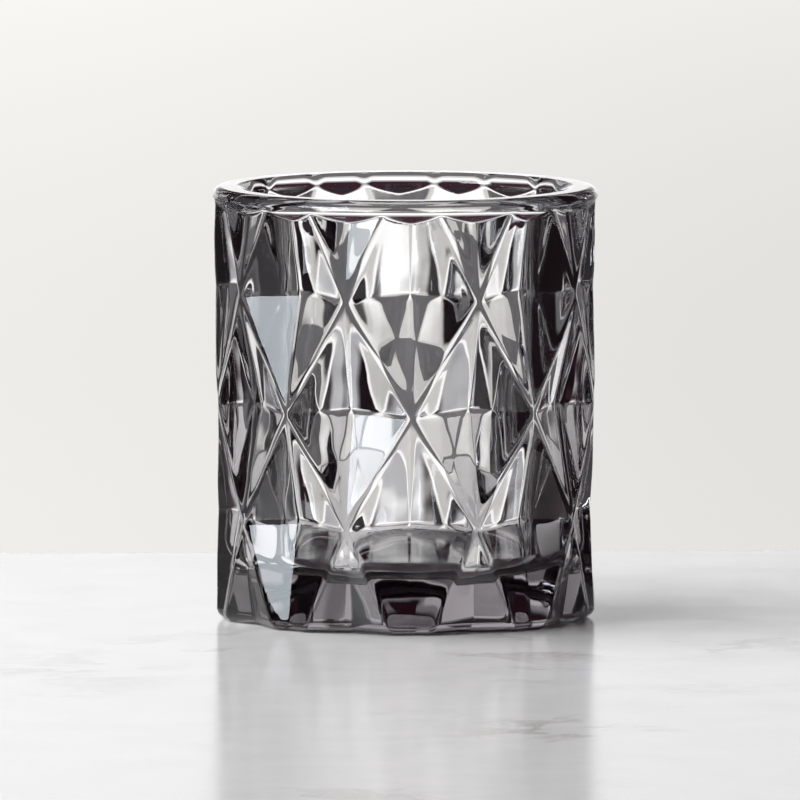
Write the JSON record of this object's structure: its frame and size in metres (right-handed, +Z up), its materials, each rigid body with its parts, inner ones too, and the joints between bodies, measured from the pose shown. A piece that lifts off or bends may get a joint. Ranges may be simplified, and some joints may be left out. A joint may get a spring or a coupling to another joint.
{
  "type": "whiskey tumbler",
  "caption": "Heavy smoke-tinted pressed-glass tumbler with recessed diamond facets all round, a rounded rim and a thick base.",
  "frame": {"origin": "centre of the base, on the plane that the tumbler stands on", "axes": "+Z up along the tumbler's axis; a crossing of the middle row of ridges faces -Y"},
  "size_m": [0.0842, 0.0842, 0.0944],
  "materials": {
    "smoked_glass": "clear polished pressed glass, grey smoke tint that turns plum where the glass is thick"
  },
  "bodies": {
    "root": {"tumbler_glass": "smoked_glass"}
  },
  "joints": []
}
